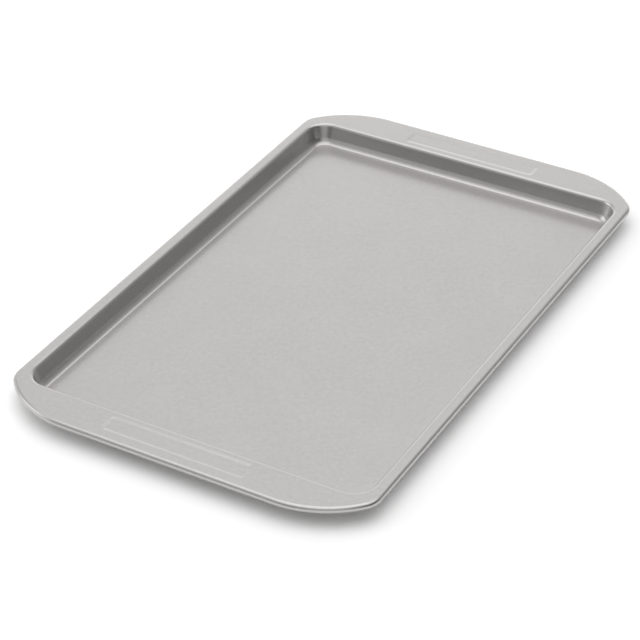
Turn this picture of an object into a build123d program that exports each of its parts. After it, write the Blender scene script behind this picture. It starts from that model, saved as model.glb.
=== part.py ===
from build123d import *

import os
from math import cos, degrees, pi, radians, sin, tan

# A non-stick cookie sheet, pressed from one sheet of steel, with its edge rolled on a wire.
# The frame: +X across the pan, +Y along it, +Z up, origin under the middle of the floor.

# Tray, measured on the face that holds the food
opening_width = 251.0
opening_length = 381.0
opening_corner_radius = 15.0
depth = 14.4
sheet = 0.6
wall_draft = 16.0
lip_radius = 3.0

# Foot of the wall, a tight bend at the floor and then an easy sweep into the wall
foot_radius = 3.0
foot_turn = 36.0
sweep_radius = 8.0

# Flange, from the tray's opening to the outside of the rolled edge
side_flange = 9.0
end_grip = 28.8
corner_radius = 16.0
shoulder_radius = 71.0
shoulder_turn = 48.7

# Rolled edge and the wire inside it
bead_radius = 2.5
bead_turn = 300.0
wire_clearance = 0.1
wire_joint_gap = 1.0

# Sunk panels in the two end grips
panel_width = 106.0
panel_length = 16.0
panel_corner_radius = 4.0
panel_depth = 0.3
panel_slant = 45.0
panel_to_opening = 4.8

# Flat stretch at each end of a bent strip, where the strip joins the flat of the sheet
land = 0.5
# Overrun of a cutting tool past what it cuts
overrun = 1.0

# Values that follow from the sizes above
height = depth + sheet
overall_width = opening_width + 2 * side_flange
overall_length = opening_length + 2 * end_grip
quarter_turn = degrees(pi / 2)
wall_bend = quarter_turn - wall_draft
wall_run = depth * tan(radians(wall_draft))
sweep_turn = wall_bend - foot_turn
foot_tangent = foot_radius * tan(radians(foot_turn / 2))
sweep_tangent = sweep_radius * tan(radians(sweep_turn / 2))
knee = (foot_tangent + sweep_tangent) * sin(radians(sweep_turn)) / sin(radians(wall_bend))
foot_reach = knee + foot_tangent
lip_reach = lip_radius * tan(radians(wall_bend / 2))
wire_radius = bead_radius - sheet - wire_clearance
up = Vector(0, 0, 1)


def quarter_course(half_width, half_length, bends):
    """Edges of a quarter outline: half a side, its bends of (radius, turn) and half an end."""
    draw_in = 0
    rise = 0
    heading = 0
    for radius, turn in bends:
        after = heading + radians(turn)
        draw_in += radius * (cos(heading) - cos(after))
        rise += radius * (sin(after) - sin(heading))
        heading = after
    course = [Line((half_width, 0), (half_width, half_length - rise))]
    for radius, turn in bends:
        course.append(JernArc(course[-1] @ 1, course[-1] % 1, radius, turn))
    course.append(Line((half_width - draw_in, half_length), (0, half_length)))
    return course


def opening_course(growth):
    """A quarter of the line where the walls would meet the flange sharply, grown outwards."""
    bends = [(opening_corner_radius + growth, quarter_turn)]
    return quarter_course(opening_width / 2 + growth, opening_length / 2 + growth, bends)


def flange_course(inset):
    """A quarter of the outline over the bead, drawn inwards by one distance."""
    bends = [
        (corner_radius - inset, quarter_turn - shoulder_turn),
        (shoulder_radius - inset, shoulder_turn),
    ]
    return quarter_course(overall_width / 2 - inset, overall_length / 2 - inset, bends)


def full_face(course):
    """The face inside a quarter course that is mirrored into all four quarters."""
    half = course + [edge.mirror(Plane.YZ) for edge in course]
    return make_face(half + [edge.mirror(Plane.XZ) for edge in half])


def plate(face, underside):
    """A flat piece of the sheet, lying on the given height."""
    return extrude(Pos(0, 0, underside) * face, amount=sheet)


def carried_round(section, course):
    """The section, drawn as (outwards, up), carried along a course and its mirror images."""
    pieces = []
    for edge in course:
        along = edge % 0
        stand = Plane(origin=edge @ 0, x_dir=along.cross(up), z_dir=-along)
        face = stand * section
        if edge.geom_type == GeomType.LINE:
            pieces.append(extrude(face, amount=edge.length, dir=along))
        else:
            turn = degrees(edge.length / edge.radius)
            pieces.append(revolve(face, Axis(edge.arc_center, up), turn))
    quarter = Part() + pieces
    half = quarter + mirror(quarter, Plane.YZ)
    return half + mirror(half, Plane.XZ)


def strip_face(below):
    """Edges of one face of the wall strip, which lies a distance below the upper face."""
    level = sheet - below
    foot_start = -wall_run - foot_reach
    foot = [Line((foot_start - land, level), (foot_start, level))]
    for radius, turn in ((foot_radius, foot_turn), (sweep_radius, sweep_turn)):
        foot.append(JernArc(foot[-1] @ 1, foot[-1] % 1, radius + below, turn))
    flange = Line((lip_reach + land, height - below), (lip_reach, height - below))
    lip = JernArc(flange @ 1, flange % 1, lip_radius - below, wall_bend)
    return foot + [Line(foot[-1] @ 1, lip @ 1), lip, flange]


def wall_section():
    """The bent strip from the floor up the wall to the flange, as (outwards, up)."""
    top = strip_face(0)
    underside = strip_face(sheet)
    ends = [Line(top[0] @ 0, underside[0] @ 0), Line(top[-1] @ 0, underside[-1] @ 0)]
    return make_face(top + underside + ends)


def bead_section():
    """The rolled edge with a short stretch of the flange, as (outwards, up)."""
    centre = (-bead_radius, height - bead_radius)
    outside = CenterArc(centre, bead_radius, quarter_turn, -bead_turn)
    inside = CenterArc(centre, bead_radius - sheet, quarter_turn, -bead_turn)
    flange_end = -bead_radius - land
    strip = Polyline(
        outside @ 0,
        (flange_end, height),
        (flange_end, depth),
        inside @ 0,
    )
    return make_face([strip, outside, inside, Line(outside @ 1, inside @ 1)])


def panel(side):
    """The sunk panel of one end grip: what is cut from the top and added underneath."""
    place = side * (opening_length / 2 + panel_to_opening + panel_length / 2)
    spread = sheet * tan(radians(panel_slant / 2))
    recess = RectangleRounded(panel_width, panel_length, panel_corner_radius)
    boss = RectangleRounded(
        panel_width + 2 * spread,
        panel_length + 2 * spread,
        panel_corner_radius + spread,
    )
    cut = extrude(Pos(0, place, height) * recess, amount=-panel_depth, taper=panel_slant)
    added = extrude(Pos(0, place, depth) * boss, amount=-panel_depth, taper=panel_slant)
    return cut, added


def pressed_pan():
    """The whole sheet: floor, walls, flange with its panels, and rolled edge."""
    wall_foot = -wall_run - foot_reach - land
    floor = plate(full_face(opening_course(wall_foot)), 0)
    walls = carried_round(wall_section(), opening_course(0))
    blank = full_face(flange_course(bead_radius + land))
    flange = plate(blank - full_face(opening_course(lip_reach + land)), depth)
    bead = carried_round(bead_section(), flange_course(0))
    pan = floor + walls + flange + bead
    for side in (-1, 1):
        cut, added = panel(side)
        pan = pan + added - cut
    return pan


def rim_wire():
    """The wire loop inside the rolled edge, open by a small gap in the middle of one side."""
    section = Pos(-bead_radius, height - bead_radius) * Circle(wire_radius)
    loop = carried_round(section, flange_course(0))
    tool_side = 2 * (wire_radius + overrun)
    tool = Box(tool_side, wire_joint_gap, tool_side)
    return loop - Pos(overall_width / 2 - bead_radius, 0, height - bead_radius) * tool


os.makedirs("parts", exist_ok=True)
export_step(pressed_pan(), "parts/pressed_pan.step")
export_step(rim_wire(), "parts/rim_wire.step")
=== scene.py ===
"""Looks of a non-stick cookie sheet: its pressed sheet as a fine mesh, its finishes and a plain studio."""

import logging
import math
from dataclasses import dataclass
from enum import Enum
from typing import Mapping, Optional, Sequence, Union

import bpy
import numpy as np
from mathutils import Matrix


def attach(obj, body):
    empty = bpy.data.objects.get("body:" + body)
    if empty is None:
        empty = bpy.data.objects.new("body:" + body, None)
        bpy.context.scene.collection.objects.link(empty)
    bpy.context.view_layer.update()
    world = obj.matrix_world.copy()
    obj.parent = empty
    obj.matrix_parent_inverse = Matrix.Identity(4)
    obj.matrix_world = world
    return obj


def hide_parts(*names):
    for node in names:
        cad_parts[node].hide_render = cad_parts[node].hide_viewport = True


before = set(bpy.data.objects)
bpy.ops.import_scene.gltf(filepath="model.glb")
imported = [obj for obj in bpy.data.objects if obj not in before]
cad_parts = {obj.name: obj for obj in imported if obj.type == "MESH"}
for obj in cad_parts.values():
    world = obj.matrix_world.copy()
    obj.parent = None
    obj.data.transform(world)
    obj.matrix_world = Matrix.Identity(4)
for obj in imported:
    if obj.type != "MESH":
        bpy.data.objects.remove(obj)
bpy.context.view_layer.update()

MM = 0.001
LOG = logging.getLogger("cookie_sheet")

# Places of the Mix node's colour sockets, whose names other sockets of the node share
MIX_FIRST = 6
MIX_SECOND = 7
MIXED = 2


class Face(Enum):
    """The two faces of the sheet."""

    UPPER = 0
    LOWER = 1


class Value:
    """A shader socket that takes part in Python arithmetic by adding Math nodes."""

    def __init__(self, graph: "Graph", socket: Optional[bpy.types.NodeSocket]) -> None:
        """Wraps one output socket of a graph, or none where a node has no output."""
        self.graph = graph
        self.socket = socket

    def _math(self, operation: str, first: "Number", second: "Number") -> "Value":
        """One Math node on two values."""
        return self.graph.node("ShaderNodeMath", {"operation": operation}, {0: first, 1: second})

    def __add__(self, other: "Number") -> "Value":
        """The sum with a value or a number."""
        return self._math("ADD", self, other)

    def __radd__(self, other: "Number") -> "Value":
        """The sum with a number on the left."""
        return self._math("ADD", other, self)

    def __sub__(self, other: "Number") -> "Value":
        """The difference from a value or a number."""
        return self._math("SUBTRACT", self, other)

    def __rsub__(self, other: "Number") -> "Value":
        """A number less this value."""
        return self._math("SUBTRACT", other, self)

    def __mul__(self, other: "Number") -> "Value":
        """The product with a value or a number."""
        return self._math("MULTIPLY", self, other)

    def __rmul__(self, other: "Number") -> "Value":
        """The product with a number on the left."""
        return self._math("MULTIPLY", other, self)


Number = Union[float, Value]
Setting = Union[str, bool, int, float]


class Graph:
    """A node tree being filled, with one method that makes any node."""

    def __init__(self, tree: bpy.types.NodeTree) -> None:
        """Empties the tree and starts on it."""
        self.tree = tree
        tree.nodes.clear()

    def node(
        self,
        kind: str,
        settings: Optional[Mapping[str, Setting]] = None,
        inputs: Optional[Mapping[Union[int, str], object]] = None,
        output: Union[int, str] = 0,
    ) -> Value:
        """Makes one node.

        Args:
            kind: Blender's name of the node's type.
            settings: The node's own properties, set before its sockets.
            inputs: What each input socket takes, a number, a colour or another node's value.
            output: The output that the caller goes on with.

        Returns:
            That output as a value.
        """
        made = self.tree.nodes.new(kind)
        for name, setting in (settings or {}).items():
            setattr(made, name, setting)
        for name, given in (inputs or {}).items():
            if isinstance(given, Value):
                self.tree.links.new(given.socket, made.inputs[name])
            else:
                made.inputs[name].default_value = given
        return Value(self, made.outputs[output] if len(made.outputs) else None)

    def noise(self, size: float, detail: float) -> Value:
        """Noise in the object's own space.

        Args:
            size: The size of its features, in metres.
            detail: How many finer layers it has.

        Returns:
            A value from 0 to 1, about 0.5 in the middle.
        """
        place = self.node("ShaderNodeTexCoord", output="Object")
        return self.node(
            "ShaderNodeTexNoise",
            {"noise_dimensions": "3D"},
            {"Vector": place, "Scale": 1.0 / size, "Detail": detail},
        )

    def blend(self, share: Value, first: tuple, second: tuple) -> Value:
        """The colour that lies a share of the way from one colour to another."""
        return self.node(
            "ShaderNodeMix",
            {"data_type": "RGBA"},
            {"Factor": share, MIX_FIRST: first, MIX_SECOND: second},
            output=MIXED,
        )

    def seen_or_mirrored(self) -> Value:
        """1 for what the camera sees, by itself or in metal or glass, and 0 for other light."""
        rays = ("Is Camera Ray", "Is Glossy Ray", "Is Transmission Ray")
        direct, mirrored, through = (self.node("ShaderNodeLightPath", output=ray) for ray in rays)
        return direct + mirrored + through


@dataclass(frozen=True)
class NonStickCoat:
    """The satin grey coating with fine metallic grain that covers the whole sheet."""

    name: str = "nonstick_coat"
    dark: tuple = (0.45, 0.44, 0.43, 1.0)
    light: tuple = (0.61, 0.60, 0.59, 1.0)
    metallic: float = 0.85
    roughness: float = 0.205
    roughness_spread: float = 0.02
    grain: float = 0.9 * MM
    grain_detail: float = 2.0
    grain_share: float = 0.45
    speckle: float = 3.0 * MM
    speckle_detail: float = 1.0
    speckle_share: float = 0.35
    mottle: float = 45.0 * MM
    mottle_detail: float = 2.0
    mottle_middle: float = 0.5
    dimple: float = 0.8 * MM
    dimple_detail: float = 1.0
    dimple_height: float = 0.001 * MM

    def material(self) -> bpy.types.Material:
        """Makes the material.

        Returns:
            The new material.
        """
        made = bpy.data.materials.new(self.name)
        made.use_nodes = True
        graph = Graph(made.node_tree)
        grain = graph.noise(self.grain, self.grain_detail)
        speckle = graph.noise(self.speckle, self.speckle_detail)
        mottle = graph.noise(self.mottle, self.mottle_detail)
        mottle_share = 1.0 - self.grain_share - self.speckle_share
        tone = self.grain_share * grain + self.speckle_share * speckle + mottle_share * mottle
        rough = self.roughness + self.roughness_spread * (mottle - self.mottle_middle)
        dimples = graph.noise(self.dimple, self.dimple_detail)
        bump = graph.node(
            "ShaderNodeBump",
            inputs={"Strength": 1.0, "Distance": self.dimple_height, "Height": dimples},
        )
        shader = graph.node(
            "ShaderNodeBsdfPrincipled",
            inputs={
                "Base Color": graph.blend(tone, self.dark, self.light),
                "Metallic": self.metallic,
                "Roughness": rough,
                "Normal": bump,
            },
        )
        graph.node("ShaderNodeOutputMaterial", inputs={"Surface": shader})
        return made


@dataclass(frozen=True)
class DrawnSteel:
    """The bright drawn steel of the wire inside the rolled edge."""

    name: str = "drawn_steel"
    dark: tuple = (0.45, 0.45, 0.46, 1.0)
    light: tuple = (0.60, 0.60, 0.61, 1.0)
    metallic: float = 1.0
    roughness: float = 0.3
    roughness_spread: float = 0.1
    streak: float = 0.3 * MM
    streak_detail: float = 3.0

    def material(self) -> bpy.types.Material:
        """Makes the material.

        Returns:
            The new material.
        """
        made = bpy.data.materials.new(self.name)
        made.use_nodes = True
        graph = Graph(made.node_tree)
        streak = graph.noise(self.streak, self.streak_detail)
        shader = graph.node(
            "ShaderNodeBsdfPrincipled",
            inputs={
                "Base Color": graph.blend(streak, self.dark, self.light),
                "Metallic": self.metallic,
                "Roughness": self.roughness + self.roughness_spread * streak,
            },
        )
        graph.node("ShaderNodeOutputMaterial", inputs={"Surface": shader})
        return made


@dataclass
class Loop:
    """A closed row of points round the pan: where they are and which way is outwards there."""

    points: np.ndarray
    outwards: np.ndarray

    def moved(self, distance: float) -> np.ndarray:
        """The points moved outwards by a distance, across the pan and along it only."""
        return self.points + distance * self.outwards


def spaced(stops: Sequence[float], steps: Sequence[int]) -> np.ndarray:
    """Values in rising or falling order, evenly spaced between each stop and the next.

    Args:
        stops: The values that must be met.
        steps: How many steps lie between each two of them.

    Returns:
        All the values, the stops among them.
    """
    parts = [np.linspace(a, b, n, endpoint=False) for a, b, n in zip(stops, stops[1:], steps)]
    return np.concatenate(parts + [[stops[-1]]])


def smooth_step(values: np.ndarray) -> np.ndarray:
    """An even S-shaped rise from 0 at 0 to 1 at 1."""
    held = np.clip(values, 0.0, 1.0)
    return held * held * (3.0 - 2.0 * held)


@dataclass
class PressedPan:
    """The pressed sheet: floor, walls, flange with two sunk panels, and the rolled edge.

    The slope of the walls is counted from upright. hold is how close an extra row of points stands
    to a bend, so that the flat beside it stays flat. The step counts are those of the mesh.
    """

    opening_width: float = 251.0 * MM
    opening_length: float = 381.0 * MM
    opening_corner: float = 15.0 * MM
    depth: float = 14.4 * MM
    sheet: float = 0.6 * MM
    slope: float = math.radians(16.0)
    foot_radius: float = 3.0 * MM
    foot_turn: float = math.radians(36.0)
    sweep_radius: float = 8.0 * MM
    lip_radius: float = 3.0 * MM
    side_flange: float = 9.0 * MM
    end_grip: float = 28.8 * MM
    corner_radius: float = 16.0 * MM
    shoulder_radius: float = 71.0 * MM
    shoulder_turn: float = math.radians(48.7)
    bead_radius: float = 2.5 * MM
    bead_turn: float = math.radians(300.0)
    panel_width: float = 106.0 * MM
    panel_length: float = 16.0 * MM
    panel_corner: float = 4.0 * MM
    panel_depth: float = 0.3 * MM
    panel_slope: float = 3.2 * MM
    panel_to_opening: float = 4.8 * MM
    hold: float = 0.4 * MM
    grid_inset: float = 3.0 * MM
    grid_hold: float = 1.0 * MM
    sharp_angle: float = math.radians(40.0)
    side_steps: int = 14
    corner_steps: int = 20
    end_steps: tuple = (12, 8, 16, 16)
    foot_steps: int = 8
    lip_steps: int = 8
    flange_steps: tuple = (1, 2, 14, 4, 14, 3, 1)
    bead_steps: int = 30

    def __post_init__(self) -> None:
        """Works out the sizes that follow from the others."""
        self.wall_bend = math.pi / 2 - self.slope
        self.wall_run = self.depth * math.tan(self.slope)
        sweep_turn = self.wall_bend - self.foot_turn
        foot_tangent = self.foot_radius * math.tan(self.foot_turn / 2)
        sweep_tangent = self.sweep_radius * math.tan(sweep_turn / 2)
        knee = (foot_tangent + sweep_tangent) * math.sin(sweep_turn) / math.sin(self.wall_bend)
        self.foot_reach = knee + foot_tangent
        self.lip_reach = self.lip_radius * math.tan(self.wall_bend / 2)
        self.height = self.depth + self.sheet
        self.half_width = self.opening_width / 2 + self.side_flange
        self.half_length = self.opening_length / 2 + self.end_grip

    def _quarter_loops(self) -> tuple[Loop, Loop]:
        """A quarter of the opening's line and of the outline over the bead, point by point.

        Returns:
            The two quarter loops, from the middle of the +X side to the middle of the +Y end.
        """
        inner_x = self.opening_width / 2 - self.opening_corner
        inner_y = self.opening_length / 2 - self.opening_corner
        small_turn = math.pi / 2 - self.shoulder_turn
        spare = self.shoulder_radius - self.corner_radius
        small_x = self.half_width - self.corner_radius
        large_x = small_x - spare * math.cos(small_turn)
        large_y = self.half_length - self.shoulder_radius
        small_y = large_y + spare * math.sin(small_turn)
        side = np.linspace(0.0, 1.0, self.side_steps, endpoint=False)
        zero = np.zeros_like(side)
        one = np.ones_like(side)
        around = np.linspace(0.0, math.pi / 2, self.corner_steps, endpoint=False)
        last_turn = math.acos((inner_x - large_x) / self.shoulder_radius)
        outer = np.interp(around, [0.0, math.pi / 4, math.pi / 2], [0.0, small_turn, last_turn])
        panel_end = self.panel_width / 2 + self.hold
        panel_flat = self.panel_width / 2 - self.panel_corner - self.hold
        end = spaced([inner_x, large_x, panel_end, panel_flat, 0.0], self.end_steps)
        on_arc = np.clip((end - large_x) / self.shoulder_radius, 0.0, 1.0)
        end_turn = np.arccos(on_arc)

        open_points = np.concatenate([
            np.stack([one * self.opening_width / 2, side * inner_y], -1),
            np.stack([
                inner_x + self.opening_corner * np.cos(around),
                inner_y + self.opening_corner * np.sin(around),
            ], -1),
            np.stack([end, np.full_like(end, self.opening_length / 2)], -1),
        ])
        open_out = np.concatenate([
            np.stack([one, zero], -1),
            np.stack([np.cos(around), np.sin(around)], -1),
            np.stack([np.zeros_like(end), np.ones_like(end)], -1),
        ])
        small = outer <= small_turn
        centre_x = np.where(small, small_x, large_x)
        centre_y = np.where(small, small_y, large_y)
        radius = np.where(small, self.corner_radius, self.shoulder_radius)
        rim_points = np.concatenate([
            np.stack([one * self.half_width, side * small_y], -1),
            np.stack([centre_x + radius * np.cos(outer), centre_y + radius * np.sin(outer)], -1),
            np.stack([end, large_y + self.shoulder_radius * np.sin(end_turn)], -1),
        ])
        rim_out = np.concatenate([
            np.stack([one, zero], -1),
            np.stack([np.cos(outer), np.sin(outer)], -1),
            np.stack([np.cos(end_turn), np.sin(end_turn)], -1),
        ])
        return Loop(open_points, open_out), Loop(rim_points, rim_out)

    @staticmethod
    def _all_round(quarter: Loop) -> Loop:
        """Mirrors a quarter loop into the other three quarters."""
        turns = [(1, 1, slice(None, None)), (-1, 1, slice(-2, None, -1))]
        turns += [(-1, -1, slice(1, None)), (1, -1, slice(-2, 0, -1))]
        points = [quarter.points[part] * (x, y) for x, y, part in turns]
        outwards = [quarter.outwards[part] * (x, y) for x, y, part in turns]
        return Loop(np.concatenate(points), np.concatenate(outwards))

    def _panel_share(self, points: np.ndarray) -> np.ndarray:
        """How far each point of the flange is pressed down into a sunk panel, from 0 to 1."""
        middle = self.opening_length / 2 + self.panel_to_opening + self.panel_length / 2
        across = np.abs(points[:, 0]) - self.panel_width / 2 + self.panel_corner
        along = np.abs(np.abs(points[:, 1]) - middle) - self.panel_length / 2 + self.panel_corner
        outside = np.hypot(np.maximum(across, 0.0), np.maximum(along, 0.0))
        distance = outside + np.minimum(np.maximum(across, along), 0.0) - self.panel_corner
        return smooth_step(-distance / self.panel_slope)

    def _rows(self, opening: Loop, rim: Loop) -> list[tuple[np.ndarray, np.ndarray]]:
        """The rows of the upper face from the floor to the end of the bead.

        Args:
            opening: The opening's line, all round.
            rim: The outline over the bead, all round.

        Returns:
            Each row's points and the sheet's upward normals there.
        """
        rows = []

        def add(base: np.ndarray, out: np.ndarray, level: np.ndarray, tilt: float) -> None:
            """Adds a row of points on a level, where the normal tilts outwards by an angle."""
            level = np.broadcast_to(level, len(base))
            up = np.full(len(base), math.cos(tilt))
            normal = np.column_stack([out * math.sin(tilt), up])
            rows.append((np.column_stack([base, level]), normal))

        out = -self.wall_run - self.foot_reach
        level = self.sheet
        add(opening.moved(out - self.hold), opening.outwards, level, 0.0)
        add(opening.moved(out), opening.outwards, level, 0.0)
        turned = 0.0
        bends = ((self.foot_radius, self.foot_turn), (self.sweep_radius, self.wall_bend))
        for radius, after in bends:
            for tilt in np.linspace(turned, after, self.foot_steps + 1)[1:]:
                out += radius * (math.sin(tilt) - math.sin(turned))
                level += radius * (math.cos(turned) - math.cos(tilt))
                turned = tilt
                add(opening.moved(out), opening.outwards, level, -tilt)
        for tilt in np.linspace(self.wall_bend, 0.0, self.lip_steps + 1):
            out = self.lip_reach - self.lip_radius * math.sin(tilt)
            level = self.height - self.lip_radius * (1.0 - math.cos(tilt))
            add(opening.moved(out), opening.outwards, level, -tilt)
        inner = opening.moved(self.lip_reach)
        outer = rim.moved(-self.bead_radius)
        reach = self.end_grip - self.bead_radius - self.lip_reach
        first = self.panel_to_opening - self.lip_reach
        turn = self.panel_corner + self.hold
        stops = [
            0.0,
            self.hold,
            first - self.hold,
            first + turn,
            first + self.panel_length - turn,
            first + self.panel_length + self.hold,
            reach - self.hold,
            reach,
        ]
        for place in spaced(stops, self.flange_steps)[1:-1]:
            base = inner + (outer - inner) * place / reach
            level = self.height - self.panel_depth * self._panel_share(base)
            add(base, rim.outwards, level, 0.0)
        for tilt in np.linspace(0.0, self.bead_turn, self.bead_steps + 1):
            out = -self.bead_radius + self.bead_radius * math.sin(tilt)
            level = self.height - self.bead_radius * (1.0 - math.cos(tilt))
            add(rim.moved(out), rim.outwards, level, tilt)
        return rows

    def _floor_grid(self, edge: np.ndarray) -> tuple[np.ndarray, list, list]:
        """The flat of the floor inside the first row, as a grid of quads.

        Args:
            edge: The first row's points, all round.

        Returns:
            The grid's points, its faces, and its border's points in the order of the row.
        """
        end_middle = len(edge) // 4
        corner = self.side_steps + self.corner_steps // 2
        after_corner = self.side_steps + self.corner_steps
        inner_x = edge[0, 0] - self.grid_inset
        inner_y = edge[end_middle, 1] - self.grid_inset
        side_y = edge[self.side_steps, 1] - self.grid_hold
        end_x = edge[after_corner, 0] - self.grid_hold
        ys = np.interp(np.arange(corner + 1), [0, self.side_steps, corner], [0.0, side_y, inner_y])
        along_end = np.arange(corner, end_middle + 1)
        in_corner = np.interp(along_end, [corner, after_corner], [inner_x, end_x])
        xs = np.where(along_end <= after_corner, in_corner, edge[along_end, 0])
        xs[-1] = 0.0
        all_x = np.concatenate([xs, -xs[-2::-1]])[::-1]
        all_y = np.concatenate([-ys[:0:-1], ys])
        columns, lines = len(all_x), len(all_y)
        grid_x, grid_y = np.meshgrid(all_x, all_y)
        level = np.full(grid_x.size, edge[0, 2])
        points = np.column_stack([grid_x.ravel(), grid_y.ravel(), level])
        faces = []
        for line in range(lines - 1):
            for column in range(columns - 1):
                first = line * columns + column
                faces.append((first, first + 1, first + columns + 1, first + columns))
        middle = lines // 2
        border = [line * columns + columns - 1 for line in range(middle, lines)]
        border += [(lines - 1) * columns + column for column in range(columns - 2, -1, -1)]
        border += [line * columns for line in range(lines - 2, -1, -1)]
        border += list(range(1, columns))
        border += [line * columns + columns - 1 for line in range(1, middle)]
        return points, faces, border

    def build(self) -> bpy.types.Object:
        """Makes the mesh of the whole sheet, both faces and the cut edge in the bead.

        Returns:
            The new object, at the origin.
        """
        quarter_opening, quarter_rim = self._quarter_loops()
        opening = self._all_round(quarter_opening)
        rim = self._all_round(quarter_rim)
        upper = self._rows(opening, rim)
        lower = [(points - self.sheet * normals, normals) for points, normals in upper]
        count = len(opening.points)
        points, faces = [], []
        starts = {Face.UPPER: [], Face.LOWER: []}
        total = 0
        for side, rows in ((Face.UPPER, upper), (Face.LOWER, lower)):
            for row, _ in rows:
                points.append(row)
                starts[side].append(total)
                total += count
        for side in Face:
            for low, high in zip(starts[side], starts[side][1:]):
                faces += self._band(low, high, count, side is Face.LOWER)
        faces += self._band(starts[Face.UPPER][-1], starts[Face.LOWER][-1], count, False)
        for side, rows in ((Face.UPPER, upper), (Face.LOWER, lower)):
            grid, quads, border = self._floor_grid(rows[0][0])
            turned = side is Face.LOWER
            points.append(grid)
            faces += [tuple(total + i for i in (quad[::-1] if turned else quad)) for quad in quads]
            first = starts[side][0]
            for a in range(count):
                b = (a + 1) % count
                ring = (total + border[a], first + a, first + b, total + border[b])
                faces.append(ring[::-1] if turned else ring)
            total += len(grid)
        mesh = bpy.data.meshes.new("pan_sheet")
        mesh.from_pydata(np.concatenate(points).tolist(), [], faces)
        mesh.validate()
        mesh.shade_smooth()
        mesh.set_sharp_from_angle(angle=self.sharp_angle)
        made = bpy.data.objects.new("pan_sheet", mesh)
        bpy.context.scene.collection.objects.link(made)
        return made

    @staticmethod
    def _band(low: int, high: int, count: int, turned: bool) -> list[tuple]:
        """The quads between two rows of points.

        Args:
            low: The index of the first row's first point.
            high: The index of the second row's first point.
            count: How many points a row has.
            turned: Whether the quads face the other way.

        Returns:
            The quads.
        """
        quads = []
        for a in range(count):
            b = (a + 1) % count
            quad = (low + a, high + a, high + b, low + b)
            quads.append(quad[::-1] if turned else quad)
        return quads

    def dress(self, made: bpy.types.Object, finish: NonStickCoat) -> None:
        """Gives the sheet its coating and makes it stand for the solid one."""
        made.data.materials.append(finish.material())
        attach(made, "root")
        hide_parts("pressed_pan")


@dataclass
class RimWire:
    """The wire inside the rolled edge, which keeps its solid."""

    node: str = "rim_wire"

    def dress(self, finish: DrawnSteel) -> None:
        """Puts the finish in the solid's material slots."""
        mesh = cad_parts[self.node].data
        mesh.materials.clear()
        mesh.materials.append(finish.material())


@dataclass(frozen=True)
class SoftLight:
    """A broad round patch of light in the room, far away, with its angles in degrees.

    Its bearing is turned from straight beyond the pan, as the camera looks, towards the left.
    """

    name: str
    bearing: float
    elevation: float
    spread: float
    strength: float

    def level(self, graph: Graph, view_azimuth: float) -> Value:
        """How bright the room is towards each side through this patch.

        Args:
            graph: The world's nodes.
            view_azimuth: The azimuth that the camera looks along.

        Returns:
            The brightness.
        """
        turn = math.pi / 2 + view_azimuth + math.radians(self.bearing)
        rise = math.radians(self.elevation)
        flat = math.cos(rise)
        middle = (flat * math.cos(turn), flat * math.sin(turn), math.sin(rise))
        towards = graph.node("ShaderNodeTexCoord", output="Generated")
        near = graph.node(
            "ShaderNodeVectorMath",
            {"operation": "DOT_PRODUCT"},
            {0: towards, 1: middle},
            output="Value",
        )
        shine = graph.node(
            "ShaderNodeMapRange",
            {"interpolation_type": "SMOOTHSTEP"},
            {"Value": near, "From Min": math.cos(math.radians(self.spread)), "From Max": 1.0},
        )
        return self.strength * shine


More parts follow.
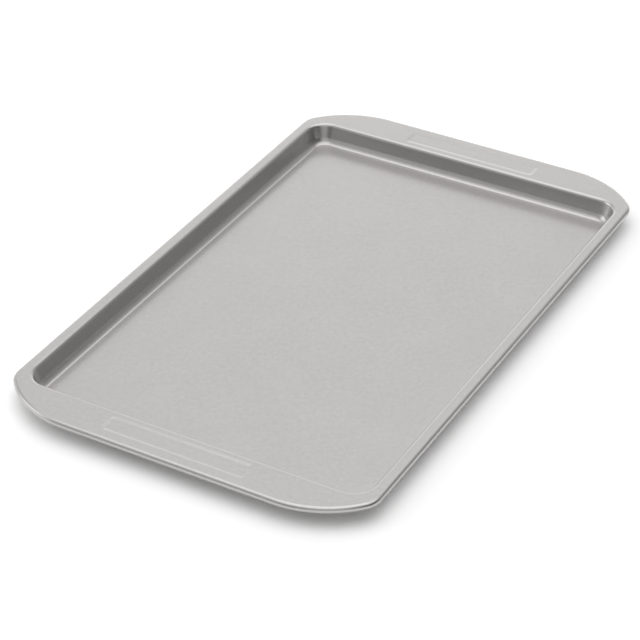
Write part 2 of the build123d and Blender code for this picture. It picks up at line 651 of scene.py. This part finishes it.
@dataclass
class Studio:
    """The pale floor, the soft light and the camera."""

    camera_place: tuple = (0.6369, -1.1223, 0.8817)
    camera_azimuth: float = math.radians(30.125)
    camera_elevation: float = math.radians(34.727)
    camera_roll: float = math.radians(-0.586)
    camera_reach: float = 100.0
    lens: float = 128.11
    sensor: float = 36.0
    floor_side: float = 30.0
    floor_matt: float = 0.85
    floor_white: float = 1.15
    floor_glow: float = 0.02
    room_level: float = 0.15
    patches: tuple = (
        SoftLight("overhead", bearing=0, elevation=90, spread=55, strength=1.65),
        SoftLight("beyond, low", bearing=0, elevation=8, spread=25, strength=0.35),
        SoftLight("beyond, broad", bearing=0, elevation=14, spread=45, strength=0.65),
        SoftLight("beyond, half the room", bearing=0, elevation=25, spread=80, strength=0.50),
        SoftLight("beyond left", bearing=45, elevation=8, spread=25, strength=0.40),
        SoftLight("left, broad", bearing=75, elevation=10, spread=45, strength=0.50),
        SoftLight("left, narrow", bearing=80, elevation=25, spread=25, strength=1.20),
        SoftLight("left, low", bearing=95, elevation=10, spread=40, strength=0.30),
        SoftLight("near left", bearing=130, elevation=30, spread=30, strength=0.45),
        SoftLight("right, weak", bearing=-60, elevation=15, spread=50, strength=0.20),
        SoftLight("behind the camera", bearing=180, elevation=25, spread=35, strength=0.65),
    )

    def camera(self) -> None:
        """Sets the camera at the photograph's viewing angle."""
        data = bpy.data.cameras.new("view")
        data.lens = self.lens
        data.sensor_width = self.sensor
        data.clip_end = self.camera_reach
        made = bpy.data.objects.new("view", data)
        bpy.context.scene.collection.objects.link(made)
        turn = Matrix.Rotation(self.camera_azimuth, 4, "Z")
        tilt = Matrix.Rotation(math.pi / 2 - self.camera_elevation, 4, "X")
        roll = Matrix.Rotation(self.camera_roll, 4, "Z")
        made.matrix_world = Matrix.Translation(self.camera_place) @ turn @ tilt @ roll
        bpy.context.scene.camera = made

    def floor(self) -> None:
        """Lays the white floor, which keeps the pan's shadow."""
        mesh = bpy.data.meshes.new("floor")
        half = self.floor_side / 2
        corners = [(-half, -half, 0), (half, -half, 0), (half, half, 0), (-half, half, 0)]
        mesh.from_pydata(corners, [], [(0, 1, 2, 3)])
        made = bpy.data.objects.new("floor", mesh)
        bpy.context.scene.collection.objects.link(made)
        material = bpy.data.materials.new("white_floor")
        material.use_nodes = True
        graph = Graph(material.node_tree)
        matt = (self.floor_matt, self.floor_matt, self.floor_matt, 1.0)
        white = (self.floor_white, self.floor_white, self.floor_white, 1.0)
        plain = graph.node("ShaderNodeBsdfDiffuse", inputs={"Color": matt})
        pale = graph.node("ShaderNodeBsdfDiffuse", inputs={"Color": white})
        glow = graph.node("ShaderNodeEmission", inputs={"Strength": self.floor_glow})
        shown = graph.node("ShaderNodeAddShader", inputs={0: pale, 1: glow})
        seen = graph.seen_or_mirrored()
        mixed = graph.node("ShaderNodeMixShader", inputs={0: seen, 1: plain, 2: shown})
        graph.node("ShaderNodeOutputMaterial", inputs={"Surface": mixed})
        mesh.materials.append(material)

    def room(self) -> None:
        """Lights the room evenly and by its soft patches, and keeps colour handling plain."""
        made = bpy.data.worlds.new("room")
        made.use_nodes = True
        graph = Graph(made.node_tree)
        level = self.room_level
        for patch in self.patches:
            level = level + patch.level(graph, self.camera_azimuth)
            LOG.info("light %s", patch.name)
        glow = graph.node("ShaderNodeBackground", inputs={"Strength": level})
        graph.node("ShaderNodeOutputWorld", inputs={"Surface": glow})
        bpy.context.scene.world = made
        bpy.context.scene.view_settings.view_transform = "Standard"


def main() -> None:
    """Builds the pan, its wire and the studio."""
    logging.basicConfig(level=logging.INFO, format="%(name)s: %(message)s")
    pan = PressedPan()
    sheet = pan.build()
    pan.dress(sheet, NonStickCoat())
    LOG.info("%s: %d points, %d faces", sheet.name, len(sheet.data.vertices), len(sheet.data.polygons))
    wire = RimWire()
    wire.dress(DrawnSteel())
    LOG.info("%s: drawn steel on its solid", wire.node)
    studio = Studio()
    studio.camera()
    studio.floor()
    studio.room()
    LOG.info("studio: camera, floor and light")


if __name__ == "__main__":
    main()
